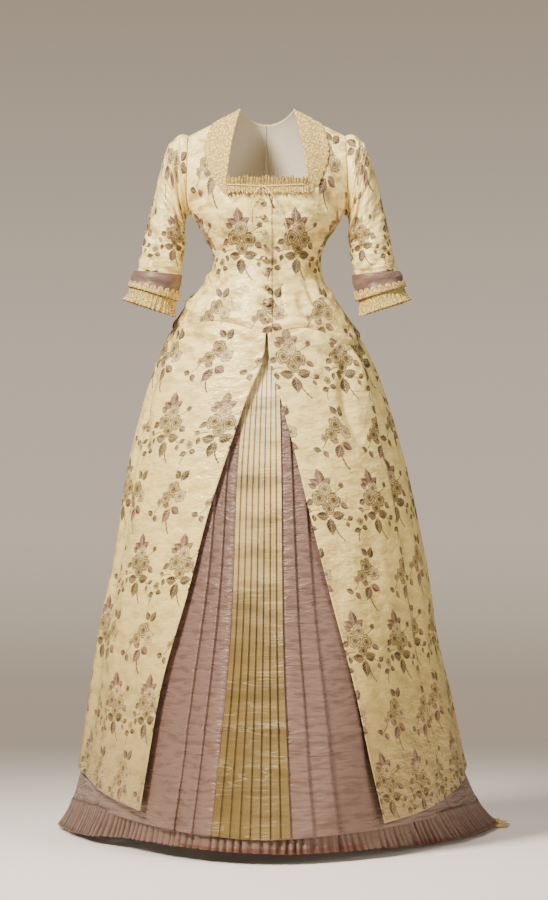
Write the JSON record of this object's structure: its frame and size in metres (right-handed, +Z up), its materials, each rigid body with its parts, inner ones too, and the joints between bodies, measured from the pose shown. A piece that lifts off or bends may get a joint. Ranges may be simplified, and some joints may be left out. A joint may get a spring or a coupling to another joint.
{
  "type": "trained_afternoon_dress",
  "caption": "Brocade afternoon dress of about 1880 with an open overskirt, a knife-pleated satin and taffeta underskirt and a train, hollow as worn.",
  "frame": {"origin": "Between the shoulders of whoever or whatever wears the dress, level with the tops of the shoulder seams, on the middle plane.", "axes": "+Z up, -Y the front of the dress, +Y the train, +X the wearer's left."},
  "size_m": [0.9599, 1.2049, 1.4827],
  "materials": {
    "brocade": "ivory satin ground with woven roses and leaves in mauve, brown and grey-gold",
    "mauve_taffeta": "dusty mauve-brown taffeta with a soft sheen",
    "olive_satin": "ivory to olive-gold satin with a strong sheen",
    "ecru_lace": "matt ecru cotton lace and net",
    "cream_cord": "matt cream braided cord"
  },
  "bodies": {
    "root": {"bodice_back_left": "brocade", "bodice_back_right": "brocade", "bodice_front_left": "brocade", "bodice_front_right": "brocade", "button_1": "brocade", "button_2": "brocade", "button_3": "brocade", "button_4": "brocade", "button_5": "brocade", "button_6": "brocade", "button_7": "brocade", "button_8": "brocade", "button_9": "brocade", "cuff_frill_left": "ecru_lace", "cuff_frill_right": "ecru_lace", "cuff_left": "mauve_taffeta", "cuff_right": "mauve_taffeta", "drawstring_knot": "cream_cord", "drawstring_left": "cream_cord", "drawstring_right": "cream_cord", "dust_frill": "ecru_lace", "hem_ruffle_front": "mauve_taffeta", "hem_ruffle_side_left": "mauve_taffeta", "hem_ruffle_side_right": "mauve_taffeta", "hem_ruffle_train_left": "mauve_taffeta", "hem_ruffle_train_right": "mauve_taffeta", "neck_frill": "ecru_lace", "neck_lace_back": "ecru_lace", "neck_lace_left": "ecru_lace", "neck_lace_right": "ecru_lace", "overskirt_front_left": "brocade", "overskirt_front_right": "brocade", "skirt_band_left": "mauve_taffeta", "skirt_band_right": "mauve_taffeta", "sleeve_left": "brocade", "sleeve_right": "brocade", "train_left": "brocade", "train_right": "brocade", "underskirt_centre": "olive_satin", "underskirt_side_left": "mauve_taffeta", "underskirt_side_right": "mauve_taffeta"}
  },
  "joints": []
}
